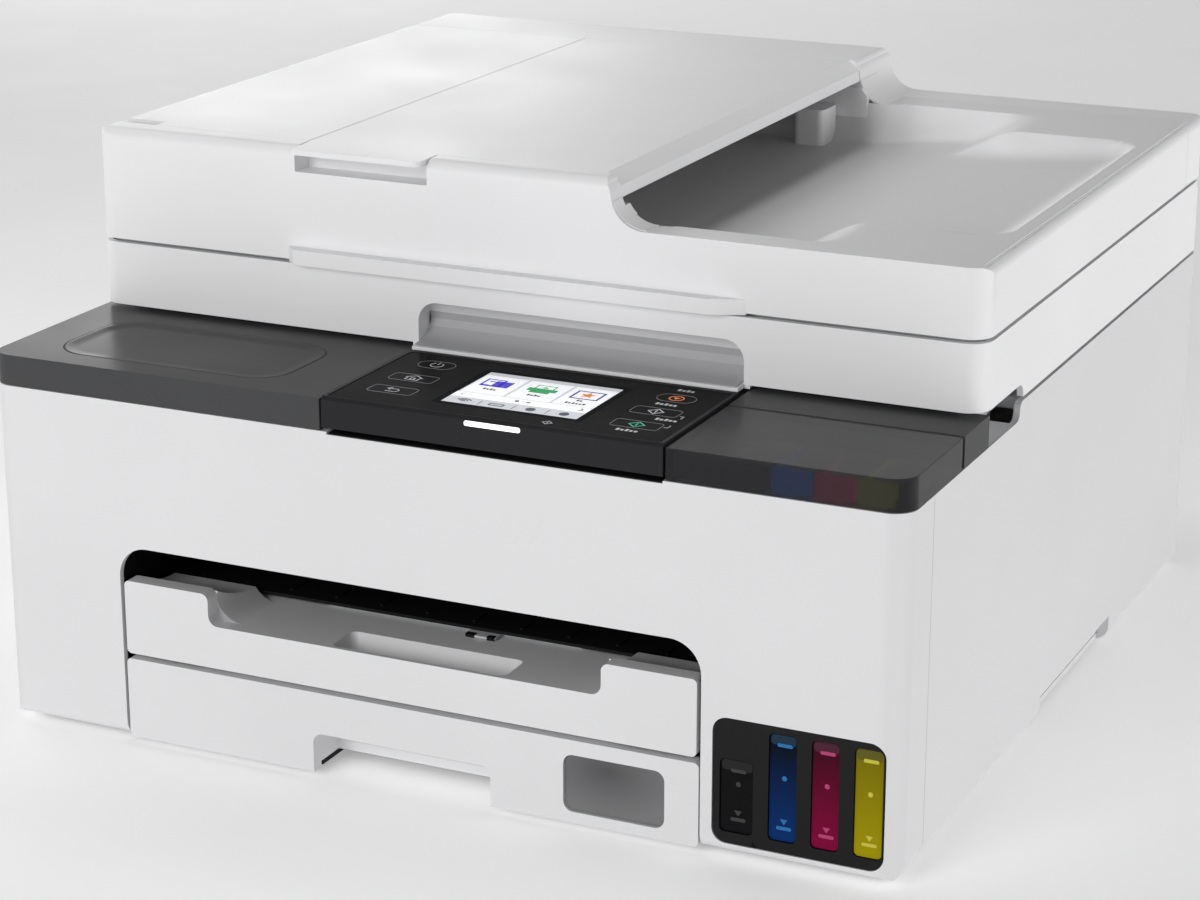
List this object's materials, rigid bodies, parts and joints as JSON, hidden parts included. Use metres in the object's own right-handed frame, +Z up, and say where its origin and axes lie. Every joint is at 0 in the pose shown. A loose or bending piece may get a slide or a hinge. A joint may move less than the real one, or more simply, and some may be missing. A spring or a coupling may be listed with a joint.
{
  "type": "inkjet printer",
  "caption": "Tank-fed inkjet printer with a front paper cassette, output tray, tilting touch panel, flatbed scanner and a sheet feeder in its lid.",
  "frame": {"origin": "on the floor, under the middle of the printer's footprint", "axes": "+X to the printer's right as seen from its front, +Y to its back, +Z up"},
  "size_m": [0.374, 0.38, 0.2262],
  "materials": {
    "white_plastic": "fine textured satin",
    "pale_plastic": "fine textured satin",
    "dark_cover": "fine satin with soft sheen",
    "smoked_plastic": "smoked, semi-transparent, glossy",
    "panel_gloss": "near-black, smooth",
    "screen": "lit touch screen",
    "button_black": "satin keys",
    "black_plastic": "matt",
    "rubber": "matt",
    "ink_black": "clear tank filled with black ink",
    "ink_cyan": "clear tank filled with blue ink",
    "ink_magenta": "clear tank filled with magenta ink",
    "ink_yellow": "clear tank filled with yellow ink",
    "cap_plastic": "coloured caps",
    "glass": "clear float glass",
    "foam_sheet": "white backing sheet",
    "window_grey": "smoked grey window",
    "zinc_steel": "zinc-plated sheet",
    "gear_plastic": "natural acetal"
  },
  "bodies": {
    "chassis": {"base_frame": "black_plastic", "feet": "rubber", "front_cover": "white_plastic", "left_side_cover": "white_plastic", "right_side_cover": "white_plastic", "rear_cover": "pale_plastic", "left_top_cover": "dark_cover", "ink_bay_trim": "dark_cover", "top_frame": "pale_plastic", "paper_exit_frame": "black_plastic", "ink_window": "smoked_plastic", "ink_tank_black": "ink_black", "ink_tank_cyan": "ink_cyan", "ink_tank_magenta": "ink_magenta", "ink_tank_yellow": "ink_yellow", "ink_tank_caps": "cap_plastic", "main_chassis": "zinc_steel", "carriage_belt": "rubber", "drive_motors": "zinc_steel", "service_station": "black_plastic", "electronics": "zinc_steel"},
    "rear_access_cover": {"rear_access_cover": "pale_plastic"},
    "ink_cover": {"ink_cover": "smoked_plastic"},
    "control_panel": {"panel_housing": "dark_cover", "panel_face": "panel_gloss", "panel_screen": "screen"},
    "scanner": {"scanner_case": "white_plastic", "scanner_bezel": "pale_plastic", "scanner_glass": "glass", "scan_drive": "zinc_steel"},
    "scan_carriage": {"scan_carriage": "black_plastic"},
    "lid": {"lid_base": "white_plastic", "lid_pad": "foam_sheet"},
    "feeder_cover": {"feeder_cover": "white_plastic"},
    "document_tray": {"document_tray": "white_plastic"},
    "document_guide_front": {"document_guide_front": "pale_plastic"},
    "document_guide_back": {"document_guide_back": "pale_plastic"},
    "feeder_roller": {"feeder_roller": "rubber"},
    "feeder_pick_roller": {"feeder_pick_roller": "rubber"},
    "output_tray": {"output_tray": "white_plastic"},
    "tray_extension": {"tray_extension": "pale_plastic"},
    "cassette": {"cassette_case": "white_plastic", "cassette_window": "window_grey"},
    "paper_guide_left": {"paper_guide_left": "black_plastic"},
    "paper_guide_right": {"paper_guide_right": "black_plastic"},
    "paper_guide_end": {"paper_guide_end": "black_plastic"},
    "lift_plate": {"lift_plate": "zinc_steel"},
    "carriage": {"carriage": "black_plastic"},
    "drive_pulley": {"drive_pulley": "gear_plastic"},
    "idler_pulley": {"idler_pulley": "gear_plastic"},
    "feed_roller": {"feed_roller": "rubber"},
    "feed_pinion": {"feed_pinion": "gear_plastic"},
    "output_roller": {"output_roller": "rubber"},
    "pick_roller": {"pick_roller": "rubber"},
    "power_button": {"power_button": "button_black"},
    "home_button": {"home_button": "button_black"},
    "back_button": {"back_button": "button_black"},
    "stop_button": {"stop_button": "button_black"},
    "start_black_button": {"start_black_button": "button_black"},
    "start_colour_button": {"start_colour_button": "button_black"}
  },
  "joints": [
    {"name": "cassette_slide", "type": "slide", "parent": "chassis", "child": "cassette", "axis": [0, -1, 0], "range_m": [0, 0.27]},
    {"name": "paper_guide_slide", "type": "slide", "parent": "cassette", "child": "paper_guide_left", "axis": [1, 0, 0], "range_m": [0, 0.05]},
    {"name": "paper_guide_right_slide", "type": "slide", "parent": "cassette", "child": "paper_guide_right", "axis": [1, 0, 0], "range_m": [-0.05, 0]},
    {"name": "paper_guide_end_slide", "type": "slide", "parent": "cassette", "child": "paper_guide_end", "axis": [0, 1, 0], "range_m": [0, 0.08]},
    {"name": "lift_plate_hinge", "type": "hinge", "parent": "cassette", "child": "lift_plate", "pos_m": [0, 0.0335, 0.0102], "axis": [1, 0, 0], "range_deg": [0, 12]},
    {"name": "output_tray_slide", "type": "slide", "parent": "chassis", "child": "output_tray", "axis": [0, -1, 0], "range_m": [0, 0.1]},
    {"name": "tray_extension_slide", "type": "slide", "parent": "output_tray", "child": "tray_extension", "axis": [0, -1, 0], "range_m": [0, 0.08]},
    {"name": "panel_tilt", "type": "hinge", "parent": "chassis", "child": "control_panel", "pos_m": [0.028, -0.123, 0.1493], "axis": [-1, 0, 0], "range_deg": [0, 45]},
    {"name": "ink_cover_hinge", "type": "hinge", "parent": "chassis", "child": "ink_cover", "pos_m": [0.142, -0.1358, 0.1508], "axis": [-1, 0, 0], "range_deg": [0, 95]},
    {"name": "scanner_hinge", "type": "hinge", "parent": "chassis", "child": "scanner", "pos_m": [0, 0.184, 0.154], "axis": [-1, 0, 0], "range_deg": [0, 45]},
    {"name": "scan_carriage_slide", "type": "slide", "parent": "scanner", "child": "scan_carriage", "axis": [1, 0, 0], "range_m": [0, 0.3]},
    {"name": "lid_hinge", "type": "hinge", "parent": "scanner", "child": "lid", "pos_m": [0, 0.186, 0.1816], "axis": [-1, 0, 0], "range_deg": [0, 80]},
    {"name": "feeder_cover_hinge", "type": "hinge", "parent": "lid", "child": "feeder_cover", "pos_m": [-0.1845, 0.028, 0.2083], "axis": [0, -1, 0], "range_deg": [0, 80]},
    {"name": "document_tray_hinge", "type": "hinge", "parent": "lid", "child": "document_tray", "pos_m": [0.036, 0.023, 0.222], "axis": [0, 1, 0], "range_deg": [0, 155]},
    {"name": "document_guide_slide", "type": "slide", "parent": "document_tray", "child": "document_guide_front", "axis": [0, 1, 0], "range_m": [0, 0.06]},
    {"name": "document_guide_back_slide", "type": "slide", "parent": "document_tray", "child": "document_guide_back", "axis": [0, 1, 0], "range_m": [-0.06, 0]},
    {"name": "feeder_roller_spin", "type": "hinge", "parent": "lid", "child": "feeder_roller", "pos_m": [-0.15, 0, 0.199], "axis": [0, 1, 0], "continuous": true},
    {"name": "feeder_pick_spin", "type": "hinge", "parent": "lid", "child": "feeder_pick_roller", "pos_m": [-0.116, 0, 0.205], "axis": [0, 1, 0], "continuous": true},
    {"name": "carriage_slide", "type": "slide", "parent": "chassis", "child": "carriage", "axis": [-1, 0, 0], "range_m": [0, 0.18]},
    {"name": "drive_pulley_spin", "type": "hinge", "parent": "chassis", "child": "drive_pulley", "pos_m": [-0.136, 0.082, 0.114], "axis": [0, 1, 0], "continuous": true},
    {"name": "idler_pulley_spin", "type": "hinge", "parent": "chassis", "child": "idler_pulley", "pos_m": [0.106, 0.082, 0.114], "axis": [0, 1, 0], "continuous": true},
    {"name": "feed_roller_spin", "type": "hinge", "parent": "chassis", "child": "feed_roller", "pos_m": [0, 0.084, 0.078], "axis": [1, 0, 0], "continuous": true},
    {"name": "feed_pinion_spin", "type": "hinge", "parent": "chassis", "child": "feed_pinion", "pos_m": [-0.158, 0.06, 0.071], "axis": [1, 0, 0], "continuous": true},
    {"name": "output_roller_spin", "type": "hinge", "parent": "chassis", "child": "output_roller", "pos_m": [0, -0.02, 0.06], "axis": [1, 0, 0], "continuous": true},
    {"name": "pick_roller_spin", "type": "hinge", "parent": "chassis", "child": "pick_roller", "pos_m": [0, 0.08, 0.0443], "axis": [1, 0, 0], "continuous": true},
    {"name": "rear_access_hinge", "type": "hinge", "parent": "chassis", "child": "rear_access_cover", "pos_m": [0, 0.18875, 0.04655], "axis": [-1, 0, 0], "range_deg": [0, 60]},
    {"name": "power_button_press", "type": "slide", "parent": "control_panel", "child": "power_button", "axis": [0, 0, -1], "range_m": [0, 0.0006], "stiffness_N_per_m": 500},
    {"name": "home_button_press", "type": "slide", "parent": "control_panel", "child": "home_button", "axis": [0, 0, -1], "range_m": [0, 0.0006], "stiffness_N_per_m": 500},
    {"name": "back_button_press", "type": "slide", "parent": "control_panel", "child": "back_button", "axis": [0, 0, -1], "range_m": [0, 0.0006], "stiffness_N_per_m": 500},
    {"name": "stop_button_press", "type": "slide", "parent": "control_panel", "child": "stop_button", "axis": [0, 0, -1], "range_m": [0, 0.0006], "stiffness_N_per_m": 500},
    {"name": "start_black_button_press", "type": "slide", "parent": "control_panel", "child": "start_black_button", "axis": [0, 0, -1], "range_m": [0, 0.0006], "stiffness_N_per_m": 500},
    {"name": "start_colour_button_press", "type": "slide", "parent": "control_panel", "child": "start_colour_button", "axis": [0, 0, -1], "range_m": [0, 0.0006], "stiffness_N_per_m": 500}
  ],
  "couplings": [
    {"joint": "paper_guide_right_slide", "follows": "paper_guide_slide", "ratio": -1},
    {"joint": "document_guide_back_slide", "follows": "document_guide_slide", "ratio": -1},
    {"joint": "feeder_pick_spin", "follows": "feeder_roller_spin", "ratio": 1.1429},
    {"joint": "drive_pulley_spin", "follows": "carriage_slide", "rad_per_m": -166.67},
    {"joint": "idler_pulley_spin", "follows": "carriage_slide", "rad_per_m": -166.67},
    {"joint": "feed_pinion_spin", "follows": "feed_roller_spin", "ratio": -3.1667},
    {"joint": "output_roller_spin", "follows": "feed_roller_spin", "ratio": 1.3333}
  ]
}
